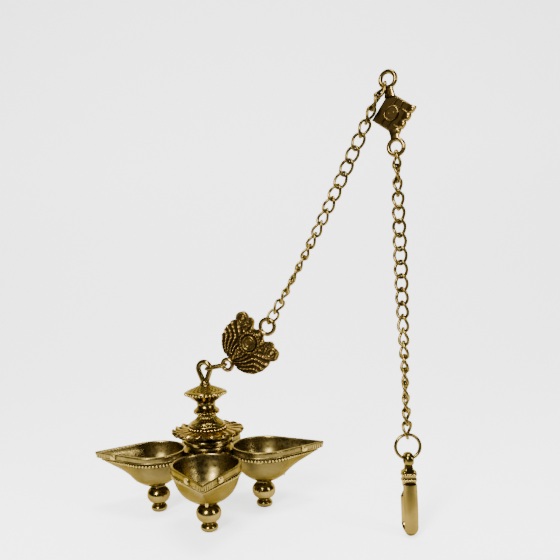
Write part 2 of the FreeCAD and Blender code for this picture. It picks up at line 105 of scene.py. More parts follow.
def brass(name, gold, olive, brown, rough, grain, shade_reach, shade_and_patina):
    """Aged brass in three colours. rough is a pair of roughness limits; the two arguments after grain set how
    far into corners and how strongly the painted shade and patina darken them.
    """
    mat = bpy.data.materials.new(name)
    mat.use_nodes = True
    tree = mat.node_tree
    new, link = tree.nodes.new, tree.links.new
    shader = tree.nodes["Principled BSDF"]
    shader.inputs["Metallic"].default_value = 1.0
    shader.inputs["Specular Tint"].default_value = (0.7, 0.6, 0.42, 1)
    place = new("ShaderNodeTexCoord").outputs["Object"]

    def cloud(scale, detail, low, high):
        tex = new("ShaderNodeTexNoise")
        tex.inputs["Scale"].default_value = scale
        tex.inputs["Detail"].default_value = detail
        link(place, tex.inputs["Vector"])
        ramp = new("ShaderNodeMapRange")
        ramp.inputs["From Min"].default_value = 0.35
        ramp.inputs["From Max"].default_value = 0.65
        ramp.inputs["To Min"].default_value = low
        ramp.inputs["To Max"].default_value = high
        link(tex.outputs["Fac"], ramp.inputs["Value"])
        return tex.outputs["Fac"], ramp.outputs["Result"]

    def mixed(a, b, fac):
        mix = new("ShaderNodeMix")
        mix.data_type = "RGBA"
        for socket, value in ((mix.inputs[6], a), (mix.inputs[7], b)):
            if isinstance(value, tuple):
                socket.default_value = (*value, 1)
            else:
                link(value, socket)
        link(fac, mix.inputs[0])
        return mix.outputs[2]

    def sums(operation, a, b):
        node = new("ShaderNodeMath")
        node.operation = operation
        node.use_clamp = True
        for socket, value in zip(node.inputs, (a, b)):
            if isinstance(value, (int, float)):
                socket.default_value = value
            else:
                link(value, socket)
        return node.outputs[0]

    _, tone = cloud(55, 4, 0.0, 1.0)
    _, stain = cloud(260, 6, 0.35, 1.0)
    # painted shade: ambient occlusion darkens the corners, standing for shade as well as patina
    ao = new("ShaderNodeAmbientOcclusion")
    ao.samples = 6
    ao.inputs["Distance"].default_value = shade_reach
    shaded_corners = new("ShaderNodeMapRange")
    shaded_corners.inputs["From Min"].default_value = 0.95
    shaded_corners.inputs["From Max"].default_value = 0.30
    link(ao.outputs["AO"], shaded_corners.inputs["Value"])
    # the relief's own value: above 0 patina and painted shade, below 0 a painted highlight on rubbed metal
    patina_wear_and_painted_light = new("ShaderNodeAttribute")
    patina_wear_and_painted_light.attribute_name = "recess"
    # deep is the dark mask: painted shade and patina in the corners found by ambient occlusion, varied by a
    # cloudy noise, and at least the relief's value above 0
    deep = sums("MULTIPLY", sums("MULTIPLY", shaded_corners.outputs["Result"], shade_and_patina), stain)
    deep = sums("MAXIMUM", deep, patina_wear_and_painted_light.outputs["Fac"])
    # relief below 0 is painted up to 2.4 times as bright as the gold: a painted highlight on rubbed metal
    wear_and_painted_highlight = sums("MULTIPLY", patina_wear_and_painted_light.outputs["Fac"], -1.0)
    body = mixed(mixed(gold, olive, tone), tuple(2.4 * c for c in gold), wear_and_painted_highlight)
    link(mixed(body, brown, deep), shader.inputs["Base Color"])
    _, gloss = cloud(420, 5, rough[0], rough[1])
    link(sums("ADD", gloss, sums("MULTIPLY", deep, 0.35)), shader.inputs["Roughness"])
    fine, _ = cloud(2600, 3, 0, 1)
    bump = new("ShaderNodeBump")
    bump.inputs["Strength"].default_value = grain
    bump.inputs["Distance"].default_value = 0.0002
    link(fine, bump.inputs["Height"])
    link(bump.outputs["Normal"], shader.inputs["Normal"])
    return mat


GOLD, OLIVE, BROWN = (0.155, 0.112, 0.032), (0.078, 0.056, 0.015), (0.012, 0.007, 0.002)
satin_brass = brass("satin_brass", GOLD, OLIVE, BROWN, (0.24, 0.36), 0.10, 0.006, 0.75)
turned_brass = brass("turned_brass", (0.18, 0.124, 0.031), (0.11, 0.075, 0.016), BROWN,
                     (0.13, 0.23), 0.06, 0.004, 1.0)
cast_brass = brass("cast_brass", (0.21, 0.135, 0.036), (0.12, 0.074, 0.016), (0.020, 0.012, 0.003),
                   (0.14, 0.24), 0.2, 0.003, 1.0)
wire_brass = brass("wire_brass", (0.19, 0.128, 0.030), (0.105, 0.071, 0.016), BROWN,
                   (0.18, 0.3), 0.10, 0.002, 1.0)
print("materials", [m.name for m in bpy.data.materials])

# %% [markdown]
# ## Turning a mesh into a finished piece
# Every finished piece is a mesh whose place is in its points. It rides the body it belongs to, stands
# for the plain node that it replaces, and is smooth apart from edges sharper than a set angle.

# %% Finishing a piece


def in_scene(name, data):
    """A new object in the scene."""
    made = bpy.data.objects.new(name, data)
    bpy.context.scene.collection.objects.link(made)
    return made


def finished(name, mesh, material, body, replaces=(), crease=38):
    mesh.materials.clear()
    mesh.materials.append(material)
    mesh.shade_smooth()
    mesh.set_sharp_from_angle(angle=math.radians(crease))
    piece = in_scene(name, mesh)
    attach(piece, body)
    if replaces:
        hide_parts(*replaces)
    return piece


def set_recess(mesh, values):
    """Store how dark (above 0: patina and painted shade) or how bright (below 0: a painted highlight on
    rubbed metal) each point is.
    """
    layer = mesh.attributes.new("recess", "FLOAT", "POINT")
    layer.data.foreach_set("value", np.clip(values, -1, 1).astype(np.float32))


def grid_mesh(name, rows, around=True, ends=(True, True), recess=None):
    """A mesh from rows of points. around joins each row's ends; ends closes the first and last row."""
    rows = [[tuple(p) for p in row] for row in rows]
    n = len(rows[0])
    points = [p for row in rows for p in row]
    faces = []
    for i in range(len(rows) - 1):
        for j in range(n if around else n - 1):
            a, b = i * n + j, i * n + (j + 1) % n
            faces.append((a, b, b + n, a + n))
    if ends[0]:
        faces.append(tuple(reversed(range(n))))
    if ends[1]:
        faces.append(tuple(range((len(rows) - 1) * n, len(rows) * n)))
    mesh = bpy.data.meshes.new(name)
    mesh.from_pydata(points, [], faces)
    set_recess(mesh, np.zeros(len(points)) if recess is None else recess)
    shell = bmesh.new()
    shell.from_mesh(mesh)
    bmesh.ops.remove_doubles(shell, verts=shell.verts, dist=1e-7)
    bmesh.ops.recalc_face_normals(shell, faces=shell.faces)
    shell.to_mesh(mesh)
    shell.free()
    return mesh


def joined(name, meshes):
    """Several meshes as one, with their attributes kept."""
    parts = [in_scene(m.name, m) for m in meshes]
    with bpy.context.temp_override(active_object=parts[0], object=parts[0], selected_editable_objects=parts,
                                   selected_objects=parts):
        bpy.ops.object.join()
    mesh = parts[0].data
    mesh.name = name
    bpy.data.objects.remove(parts[0])
    return mesh


# %% [markdown]
# ## Two Geometry Nodes trees
# Half of this object is wire bent along a line, and most of its ornament is beads set along a line.
# So two node trees do both. The first sweeps a round section along a path. The second sets beads at
# even steps on a path, and reads each point's radius, so a row can shrink as it nears a spout.

# %% The wire tree and the bead tree


def new_tree(name, inputs):
    tree = bpy.data.node_groups.new(name, "GeometryNodeTree")
    tree.interface.new_socket("Geometry", in_out="INPUT", socket_type="NodeSocketGeometry")
    tree.interface.new_socket("Geometry", in_out="OUTPUT", socket_type="NodeSocketGeometry")
    for label, kind in inputs:
        tree.interface.new_socket(label, in_out="INPUT", socket_type="NodeSocket" + kind)
    return tree, tree.nodes.new("NodeGroupInput"), tree.nodes.new("NodeGroupOutput")


def close_tree(tree, given, out, shape):
    """Make the shape real, give it its material and send it out."""
    new, link = tree.nodes.new, tree.links.new
    real = new("GeometryNodeRealizeInstances")
    link(shape, real.inputs["Geometry"])
    paint = new("GeometryNodeSetMaterial")
    link(real.outputs["Geometry"], paint.inputs["Geometry"])
    link(given.outputs["Material"], paint.inputs["Material"])
    link(paint.outputs["Geometry"], out.inputs["Geometry"])
    return tree


def wire_tree():
    tree, given, out = new_tree("bent_wire", (("Radius", "Float"), ("Sides", "Int"),
                                              ("Material", "Material")))
    new, link = tree.nodes.new, tree.links.new
    ring = new("GeometryNodeCurvePrimitiveCircle")
    link(given.outputs["Sides"], ring.inputs["Resolution"])
    link(given.outputs["Radius"], ring.inputs["Radius"])
    sweep = new("GeometryNodeCurveToMesh")
    sweep.inputs["Fill Caps"].default_value = True
    link(given.outputs["Geometry"], sweep.inputs["Curve"])
    link(ring.outputs["Curve"], sweep.inputs["Profile Curve"])
    return close_tree(tree, given, out, sweep.outputs["Mesh"])


def bead_tree():
    tree, given, out = new_tree("bead_row", (("Count", "Int"), ("Bead Radius", "Float"), ("Tall", "Float"),
                                             ("Material", "Material")))
    new, link = tree.nodes.new, tree.links.new
    step = new("GeometryNodeResampleCurve")
    link(given.outputs["Geometry"], step.inputs["Curve"])
    link(given.outputs["Count"], step.inputs["Count"])
    ball = new("GeometryNodeMeshIcoSphere")
    ball.inputs["Subdivisions"].default_value = 2
    link(given.outputs["Bead Radius"], ball.inputs["Radius"])
    tall = new("ShaderNodeCombineXYZ")
    tall.inputs["X"].default_value = 1.0
    tall.inputs["Y"].default_value = 1.0
    link(given.outputs["Tall"], tall.inputs["Z"])
    size = new("ShaderNodeVectorMath")
    size.operation = "SCALE"
    link(tall.outputs["Vector"], size.inputs[0])
    link(new("GeometryNodeInputRadius").outputs["Radius"], size.inputs["Scale"])
    rows = new("GeometryNodeInstanceOnPoints")
    link(step.outputs["Curve"], rows.inputs["Points"])
    link(ball.outputs["Mesh"], rows.inputs["Instance"])
    link(size.outputs["Vector"], rows.inputs["Scale"])
    return close_tree(tree, given, out, rows.outputs["Instances"])


bent_wire, bead_row = wire_tree(), bead_tree()


def along_path(tree, points, closed, values, radii=None):
    """Run a tree on a path through the points and return its plain mesh."""
    curve = bpy.data.curves.new("path", "CURVE")
    curve.dimensions = "3D"
    line = curve.splines.new("POLY")
    line.points.add(len(points) - 1)
    for k, p in enumerate(points):
        line.points[k].co = (*p, 1)
        line.points[k].radius = radii[k] if radii else 1.0
    line.use_cyclic_u = closed
    holder = in_scene("path", curve)
    maker = holder.modifiers.new("maker", "NODES")
    maker.node_group = tree
    for item in tree.interface.items_tree:
        if item.in_out == "INPUT" and item.name in values:
            maker[item.identifier] = values[item.name]
    seen = holder.evaluated_get(bpy.context.evaluated_depsgraph_get())
    mesh = bpy.data.meshes.new_from_object(seen)
    holder.modifiers.remove(maker)
    bpy.data.objects.remove(holder)
    return mesh


def wire(points, radius, material, closed=True, sides=20):
    return along_path(bent_wire, points, closed, {"Radius": radius, "Sides": sides, "Material": material})


def beads(points, count, radius, material, closed=True, tall=1.0, radii=None):
    """A row of beads, painted brighter than the metal round them (a recess below 0): a painted highlight on
    rubbed metal.
    """
    mesh = along_path(bead_row, points, closed,
                      {"Count": count, "Bead Radius": radius, "Tall": tall, "Material": material}, radii)
    # every bead is painted bright: a painted highlight on rubbed metal
    set_recess(mesh, np.full(len(mesh.vertices), -0.7))
    return mesh


def circle(radius, height, n=96):
    turns = [2 * math.pi * k / n for k in range(n)]
    return [(radius * math.cos(a), radius * math.sin(a), height) for a in turns]


def ring_path(middle, one_way, other_way, radius, n=96):
    """A ring about middle in the plane of two directions; radius is in millimetres."""
    turns = [2 * math.pi * k / n for k in range(n)]
    return [middle + (one_way * math.cos(a) + other_way * math.sin(a)) * radius * MM for a in turns]


def squared(value, power):
    """A sine or cosine pushed outward, which turns a circle into a rounded square."""
    return math.copysign(abs(value) ** power, value)


print("trees", [g.name for g in bpy.data.node_groups])

# %% [markdown]
# ## The curb chains
# A curb link is an oval of round wire, twisted an eighth of a turn each way so that it lies against its
# neighbours. Its centre line is four pairs of arcs. One quarter is worked out here and turned about the
# link's three axes. The hinge points say where each link hangs and how its lower end is turned.

# %% One link's centre line
LINK_WIRE, LINK_END, LINK_SIDE, LINK_TWIST = 2.1, 5.675, 3.8, math.radians(-45)


def two_arcs(start, heading, end, arrival, n=7):
    """Points on two tangent arcs from start along heading to end along arrival."""
    span, both = end - start, heading + arrival
    a, b, c = both.dot(both) - 4, -2 * span.dot(both), span.dot(span)
    root = math.sqrt(b * b - 4 * a * c)
    reach = min(x for x in ((-b + root) / (2 * a), (-b - root) / (2 * a)) if x > 0)
    first, second = start + heading * reach, end - arrival * reach
    meet, middle = (first + second) / 2, (second - first).normalized()
    points = []
    for p, t, q in ((start, heading, meet), (meet, middle, end)):
        chord = q - p
        side = (chord - t * chord.dot(t)).normalized()
        half = chord.angle(t)
        radius = chord.length / 2 / math.sin(half)
        for k in range(n):
            turn = 2 * half * k / n
            points.append(p + t * radius * math.sin(turn) + side * radius * (1 - math.cos(turn)))
    return points


def link_line():
    lean = math.atan(LINK_SIDE * LINK_TWIST / LINK_END)
    top, side = Vector((0, 0, LINK_END)), Vector((LINK_SIDE, 0, 0))
    across = Vector((math.cos(LINK_TWIST), math.sin(LINK_TWIST), 0))
    down = Vector((0, -math.sin(lean), -math.cos(lean)))
    quarter = two_arcs(top, across, side, down)
    # the lower quarter is the upper one turned half a turn about X and walked backwards
    lower = [Vector((p.x, -p.y, -p.z)) for p in quarter]
    half = quarter + [side] + lower[:0:-1]
    # the other side is this one turned half a turn about Z, walked from the bottom end to the top
    other = [Vector((-p.x, -p.y, p.z)) for p in half]
    return half + [Vector((0, 0, -LINK_END))] + other[:0:-1]


link_wire = wire([p * MM for p in link_line()], LINK_WIRE / 2 * MM, wire_brass, sides=18)
print("one link has", len(link_wire.polygons), "faces")

# %% Hang every link from its hinge
FIRST_BEARING, PLAQUE_RING = math.radians(230), 5.15


def link_place(body, below):
    """The placing matrix of a link, from its own hinge and the hinge of what hangs below it."""
    start, _ = joint_at(body)
    end, wire_below = joint_at(below)
    if body == "lower_link_01":     # it slides round the plaque's ring, so its hinge is the ring's middle
        level = Vector((math.cos(SQUARE_PLANE), math.sin(SQUARE_PLANE), 0))
        start = start + (level * math.cos(FIRST_BEARING) + up * math.sin(FIRST_BEARING)) * PLAQUE_RING * MM
    along = (end - start).normalized()
    flat = wire_below * math.cos(LINK_TWIST) - along.cross(wire_below) * math.sin(LINK_TWIST)
    return axes_matrix(end - along * LINK_END * MM, flat, -along)


def hang(chain, count, last):
    for k in range(1, count + 1):
        body = f"{chain}_{k:02d}"
        below = f"{chain}_{k + 1:02d}" if k < count else last
        mesh = link_wire.copy()
        mesh.transform(link_place(body, below))
        finished(f"{body}_wire", mesh, wire_brass, body, [body], 80)


hang("upper_link", 21, "round_ring")
hang("lower_link", 20, "leaf_plaque")

# %% [markdown]
# ## The round ring and the oval link
# Both are plain rings of drawn wire. The round ring joins the upper chain to the hook. The oval link
# lies flat between the leaf plaque and the eye of the lamp.

# %% Two plain wire rings
low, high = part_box("round_ring")
ring_middle = (low + high) / 2
loop = wire(ring_path(ring_middle, Vector((1, 0, 0)), up, 8.3), 1.15 * MM, turned_brass)
finished("round_ring_wire", loop, turned_brass, "round_ring", ["round_ring"], 80)

OVAL_HALF_STRAIGHT, OVAL_BEND = 5.85, 3.25
oval_start, _ = joint_at("oval_link")
oval_end, _ = joint_at("lamp")
oval_fall = (oval_end - oval_start).normalized()
sideways = oval_fall.cross(up).normalized()
sideways.rotate(Quaternion(oval_fall, math.radians(-13)))   # it hangs a little rolled
oval_middle = oval_end - oval_fall * (OVAL_HALF_STRAIGHT + OVAL_BEND) * MM
loop = []
for end, first in ((1, -90), (-1, 90)):
    for k in range(25):
        a = math.radians(first + 180 * k / 24)
        along = end * OVAL_HALF_STRAIGHT + OVAL_BEND * math.cos(a)
        loop.append(oval_middle + (oval_fall * along + sideways * OVAL_BEND * math.sin(a)) * MM)
finished("oval_link_wire", wire(loop, 1.05 * MM, wire_brass), wire_brass, "oval_link", ["oval_link"], 80)
print("ring and oval link made")

# %% [markdown]
# ## Turned pieces
# The saucer, the column, the feet and the nut were made on a lathe. A lathe follows one outline, so each
# piece is one outline of radius and height turned about the lamp's axis. Arcs are given by three points.

# %% A lathe


def outline(steps, n=10):
    """Radius and height pairs in millimetres; an ("arc", middle, end) step bends from the last point."""
    points = []
    for step in steps:
        if step[0] != "arc":
            points.append(step)
            continue
        a, b, c = (complex(*p) for p in (points[-1], step[1], step[2]))
        w = (c - a) / (b - a)
        centre = (b - a) * (w - abs(w) ** 2) / (2j * w.imag) + a
        spin = np.angle((c - centre) / (a - centre))
        middle = np.angle((b - centre) / (a - centre))
        if spin * middle < 0 or abs(middle) > abs(spin):
            spin -= math.copysign(2 * math.pi, spin)
        for k in range(1, n + 1):
            p = centre + (a - centre) * np.exp(1j * spin * k / n)
            points.append((p.real, p.imag))
    return points


def turned(name, steps, place, wave=None, sides=144):
    """Turn an outline about an upright axis at place. wave(turn, radius, height) may change a radius."""
    rows, recess = [], []
    for r, z in outline(steps):
        row = []
        for k in range(sides):
            a = 2 * math.pi * k / sides
            radius, depth = (r, 0.0) if wave is None else wave(a, r, z)
            row.append(place + Vector((radius * math.cos(a), radius * math.sin(a), z)) * MM)
            recess.append(depth)
        rows.append(row)
    return grid_mesh(name, rows, recess=recess)


def bead_ring(radius, height, count, size, place, material, tall=1.0):
    points = [place + Vector(p) * MM for p in circle(radius, height)]
    return beads(points, count, size * MM, material, tall=tall)


# %% [markdown]
# The saucer's cone is engraved with narrow rays, and its rim is beaded. The column has a sharp knop with
# a beaded lower edge. Its bell is fluted, so light breaks on it in upright streaks.

# %% The saucer, the column and the eye


def rays(a, r, z):
    inside = 1 if 6.0 < r < 14.5 and z > 95 else 0
    cut = inside * (0.5 + 0.5 * math.cos(20 * a + 0.5 * r) * math.cos(1.3 * r)) ** 2
    # the ray grooves are painted dark with patina and painted shade, and the cone between them a little
    # bright as a painted highlight
    return r - 0.8 * cut, inside * (0.92 - 1.1 * (1 - cut) ** 3)


def flutes(a, r, z):
    band = max(0.0, 1 - abs(z - 74.2) / 2.6)
    cut = band * (0.5 + 0.5 * math.cos(24 * a))
    # the flute grooves are painted dark: painted shade and patina
    return r - 0.45 * cut, 0.7 * cut


cone = [(16.0 - 10.8 * k / 24, 95.9 + 4.4 * k / 24) for k in range(25)]
saucer_line = [(2.6, 86.2), (7.6, 86.2), (8.0, 87.4), (12.0, 90.1), (15.2, 93.0),
               ("arc", (16.1, 94.3), (15.9, 95.6)), *cone, (4.9, 100.6), (4.4, 101.4), (2.6, 101.4)]
saucer = turned("saucer", saucer_line, lamp_axis, rays, 288)
saucer = joined("saucer", [saucer, bead_ring(16.4, 94.2, 38, 1.15, lamp_axis, cast_brass)])
finished("saucer_turned", saucer, turned_brass, "lamp", ["saucer"], 32)

bell = [(11.6 - 4.0 * math.sin(math.pi / 2 * k / 20), 71.9 + 4.5 * k / 20) for k in range(21)]
column_line = [(2.6, 66.5), (12.6, 66.5), (12.6, 67.3), ("arc", (14.1, 68.4), (12.9, 69.4)), (12.0, 69.6),
               ("arc", (13.0, 70.6), (11.8, 71.5)), *bell, (7.5, 77.2), (7.9, 77.9), (9.0, 78.4),
               (9.9, 79.3), (10.6, 80.3), (9.9, 81.3), ("arc", (7.9, 82.9), (7.2, 84.7)), (7.6, 85.3),
               (7.6, 86.2), (2.6, 86.2)]
column = turned("column", column_line, lamp_axis, flutes, 192)
column = joined("column", [column, bead_ring(9.6, 78.9, 26, 0.95, lamp_axis, turned_brass),
                           bead_ring(12.4, 69.9, 40, 0.7, lamp_axis, turned_brass)])
finished("stem_turned", column, turned_brass, "lamp", ["stem"], 32)

EYE_HEIGHT, EYE_RADIUS = 113.6, 5.3
round_part = [(EYE_RADIUS * math.cos(a), EYE_HEIGHT + EYE_RADIUS * math.sin(a))
              for a in np.radians(np.linspace(-22, 202, 49))]
eye = [(0.9, 102.0), *round_part, (-0.9, 102.0)]
eye = [lamp_axis + (along_plane * x + up * z) * MM for x, z in eye]
shank_line = [(0.6, 26.8), (2.2, 27.0), (2.5, 27.4), (2.5, 101.2), (4.0, 101.2),
              ("arc", (4.5, 101.7), (4.0, 102.3)), ("arc", (3.3, 103.2), (3.1, 104.4)), (0.6, 104.8)]
shank = turned("shank", shank_line, lamp_axis, sides=96)
shank = joined("shank", [shank, wire(eye, 2.2 * MM, turned_brass, closed=False, sides=32)])
finished("eye_and_shank", shank, turned_brass, "lamp", ["suspension_eye"], 60)

nut_line = [(2.6, 28.0), (5.2, 28.0), ("arc", (6.6, 29.6), (6.2, 31.2)), (6.2, 32.0), (2.6, 32.0)]
nut = turned("nut", nut_line, lamp_axis, sides=96)
finished("rod_nut_turned", nut, turned_brass, "lamp", ["rod_nut"])

# %% The four feet
FEET = {"right": (1, 0), "back": (0, 1), "left": (-1, 0), "front": (0, -1)}
FOOT_REACH = 42.6
foot_line = [(0.5, 0.0), (3.4, 0.0), (5.3, 0.8), ("arc", (6.6, 3.1), (5.4, 5.3)), (4.4, 5.9), (4.2, 6.5),
             (4.6, 7.0), ("arc", (9.45, 13.6), (5.2, 20.0)), (5.0, 20.4), (5.9, 21.0), (6.1, 21.6),
             (5.9, 22.1), (0.5, 22.1)]
for side, (x, y) in FEET.items():
    foot = turned("foot", foot_line, lamp_axis + Vector((x, y, 0)) * FOOT_REACH * MM, sides=96)
    finished(f"foot_{side}_turned", foot, turned_brass, "lamp", [f"foot_{side}"], 32)
print("feet made")

# %% [markdown]
# ## The lotus flange
# The flange is a cast dish. Curved petals sweep over it to a thick lobed edge. The petals are one wave
# in the angle, and the wave turns further the further out it goes.

# %% The lotus flange
LOBES = 18


def petal(a, r):
    """How far up a petal a point is, 0 in the cut and 1 on the crown."""
    out = (r - 14.5) / 14.5
    return 0.5 + 0.5 * math.cos(LOBES * (a + 0.42 * out * out))


def flange_rows():
    rows, recess = [], []
    path = [(2.6, 66.4, 0), (13.6, 66.4, 0), (14.4, 66.2, 0.1)]
    for k in range(1, 41):
        path.append((14.8 + 12.8 * k / 40, 65.9 - 1.5 * math.sin(math.pi * k / 44), 0.25 + 0.75 * k / 40))
    path += [(28.3, 65.0, 1), (28.9, 64.4, 1), (29.0, 63.6, 1), (28.4, 62.9, 0.9), (27.2, 62.3, 0.7),
             (24.0, 61.7, 0.3), (18.0, 61.1, 0), (13.0, 60.8, 0), (2.6, 60.8, 0)]
    for r, z, share in path:
        row = []
        for k in range(432):
            a = 2 * math.pi * k / 432
            p = petal(a, r)
            rim = max(0.0, (r - 25.5) / 3.5)
            rise = share * (1.7 * (p - 0.6) if z > 62.6 else 0)
            radius = r + rim * share * 1.5 * (p - 0.7)
            row.append(lamp_axis + Vector((radius * math.cos(a), radius * math.sin(a), z + rise)) * MM)
            # the petal cuts are painted dark with patina and painted shade, the crowns painted bright as a
            # painted highlight, and the underside painted dark as painted shade
            recess.append(1.5 * (0.75 - p) * min(1, share * 1.4) if z > 62.6 else 0.3)
        rows.append(row)
    return rows, recess


rows, recess = flange_rows()
flange_beads = bead_ring(15.0, 66.5, 34, 1.15, lamp_axis, cast_brass)
flange = joined("flange", [grid_mesh("flange", rows, recess=recess), flange_beads])
finished("lotus_flange_cast", flange, cast_brass, "lamp", ["lotus_flange"], 50)
print("flange faces", len(flange.polygons))

# %% [markdown]
# ## The spouted bowls
# Seen from above, each bowl is round, and two straight sides run from the round to the tip of a spout.
# Lower outlines are smaller and their tips draw back, so the spout has a keel like a boat. The wall has
# a plain band under the rim, a raised line, and a row of small beads that shrink towards the tip.

# %% The bowls
BOWL_MIDDLE, SPOUT_START = 44.0, 62.0     # out from the lamp's axis
# height, radius of the round and reach of the tip
SECTIONS = ((50.7, 25.6, 93.2), (46.0, 25.2, 91.4), (40.6, 24.2, 82.0), (35.4, 22.4, 72.5),
            (31.0, 19.9, 66.0), (27.8, 17.0, 61.4), (25.2, 13.6, 58.0), (23.2, 10.0, 54.0), (21.8, 6.6, 50.6))


def smooth_between(z, column):
    """A section's size at a height, on a smooth line through the given sections."""
    heights = [s[0] for s in SECTIONS][::-1]
    values = [s[column] for s in SECTIONS][::-1]
    reach = np.linspace(z - 0.8, z + 0.8, 9)
    return float(np.mean(np.interp(reach, heights, values)))


def level_outline(z, grow, n=192):
    """The bowl's outline at a height, with the lamp's axis at 0 and the spout along X."""
    radius = smooth_between(z, 1) + grow
    reach = smooth_between(z, 2) - BOWL_MIDDLE + grow * 1.3
    points = []
    for k in range(n):
        t = 2 * math.pi * k / n
        a = t - 0.62 * math.sin(t)
        off = math.sqrt(((a + math.pi) % (2 * math.pi) - math.pi) ** 2 + 0.0002)
        rho = radius
        if reach > radius * 1.02:
            touch = math.acos(radius / reach)
            if off < touch:
                rho = radius / math.cos(touch - off)
        points.append(Vector((BOWL_MIDDLE + rho * math.cos(a), rho * math.sin(a), z)))
    return points


def bowl_mesh(name):
    outside = [(50.35, 0.25), (50.0, 0.42), (49.0, 0.45), (47.6, 0.45), (46.9, 0.4), (46.6, 0.75),
               (46.2, 0.9), (45.8, 0.75), (45.5, 0.1), (45.0, -0.3), (44.0, -0.5), (43.0, -0.3),
               (42.5, 0.1), (42.2, 0.25), (41.9, 0.05)]
    outside += [(41.9 - 20.1 * (k / 36) ** 0.9, 0.0) for k in range(1, 37)]
    rows = [level_outline(z, grow) for z, grow in reversed(outside)]
    rows.append([Vector((p.x, p.y, 50.7)) for p in level_outline(50.7, -0.05)])
    rows.append([Vector((p.x, p.y, 50.7)) for p in level_outline(50.7, -1.45)])
    for k in range(27):
        z = 50.3 - 26.0 * k / 26
        rows.append([Vector((p.x, p.y, p.z)) for p in level_outline(z, -1.8)])
    recess = []
    for k, row in enumerate(rows):
        below_band = k < len(outside) - 5
        # the belly below the band is painted a little darker: painted shade
        recess += [0.28 if below_band and 28 < p.z < 45.4 else 0.0 for p in row]
    return grid_mesh(name, [[p * MM for p in row] for row in rows], recess=recess)


def turn_of(p):
    return math.atan2(p.y, p.x - BOWL_MIDDLE) % (2 * math.pi)


def swept_beads(z, grow, counts, size):
    """Large beads round the back of the bowl, and smaller, closer ones along the spout's two sides."""
    path = level_outline(z, grow, 480)
    rows = []
    for keep, count in ((lambda p: p.x < SPOUT_START, counts[0]),
                        (lambda p: p.x >= SPOUT_START and p.y > 0, counts[1]),
                        (lambda p: p.x >= SPOUT_START and p.y < 0, counts[1])):
        line = sorted((p for p in path if keep(p)), key=turn_of)
        radii = [1.0 if p.x < SPOUT_START else max(0.4, 0.9 - (p.x - SPOUT_START) / 52) for p in line]
        line = [p * MM for p in line]
        rows.append(beads(line, count, size * MM, cast_brass, closed=False, radii=radii))
    return rows


def block(centre, facing, sizes):
    """A small cushion-shaped boss at centre, facing outward; sizes are across, out and up."""
    out = Vector(facing).normalized()
    across = up.cross(out)
    rows = []
    for k in range(1, 12):
        t = math.pi * k / 12
        ring, z = math.sin(t) ** 0.35, -math.cos(t)
        row = []
        for j in range(24):
            a = 2 * math.pi * j / 24
            wide = squared(math.cos(a), 0.45) * ring * sizes[0] / 2
            deep = squared(math.sin(a), 0.45) * ring * sizes[1] / 2
            row.append((centre + across * wide + out * deep + up * z * sizes[2] / 2) * MM)
        rows.append(row)
    # the bosses are painted bright: a painted highlight on rubbed metal
    return grid_mesh("boss", rows, recess=[-0.9] * (24 * len(rows)))


def band_point(reach_back, z, side, grow=0.45):
    """A point on the band this far back from the tip, and the outward direction there."""
    path = [p for p in level_outline(z, grow, 960) if p.y * side > 0 and p.x > 60]
    tip = max(path, key=lambda p: p.x)
    point = min(path, key=lambda p: abs((p - tip).length - reach_back))
    after = min(path, key=lambda p: abs((p - tip).length - reach_back - 2.0))
    back = (after - point).normalized()
    return point, Vector((-back.y, back.x, 0)) * (-side)


def bowl(name):
    parts = [bowl_mesh(name), *swept_beads(43.8, 0.1, (44, 17), 1.2)]
    for side in (1, -1):
        point, out = band_point(20.0, 48.6, side)
        parts.append(block(point, out, (5.2, 3.2, 4.0)))
        for k in range(5):
            point, out = band_point(2.5 + 2.0 * k, 48.2, side, 0.3)
            parts.append(block(point, out, (0.7, 0.9, 3.4)))
    keel = Vector((smooth_between(26.6, 2) - 0.6, 0, 26.6))
    parts.append(block(keel, (1, 0, -0.5), (2.6, 2.2, 4.4)))
    return joined(name, parts)


one_bowl = bowl("bowl")
for side, (x, y) in FEET.items():
    mesh = one_bowl.copy()
    mesh.transform(Matrix.Translation(lamp_axis) @ axes_matrix(Vector(), Vector((x, y, 0)), up))
    finished(f"bowl_{side}_cast", mesh, satin_brass, "lamp", [f"bowl_{side}"], 40)
print("one bowl has", len(one_bowl.polygons), "faces")

# %% [markdown]
# ## The square plaque
# The plaque is a small casting with its corners up and down. A round boss sits on two
# ridges, and one edge is cut into four lobes. It is one sheet of points about the boss, raised by a
# height. The same height, turned upside down, is how dark the metal is painted: patina and painted shade
# in the low parts, and a painted highlight on the raised ones.

# %% Height helpers


def ramp(value, start, end):
    t = min(1.0, max(0.0, (value - start) / (end - start)))
    return t * t * (3 - 2 * t)


def bump_at(value, middle, half):
    return max(0.0, 1 - ((value - middle) / half) ** 2)


def raised(height, base):
    """The same relief on a thicker plate."""
    def face(x, z):
        h, dark = height(x, z)
        return h + base, dark
    return face


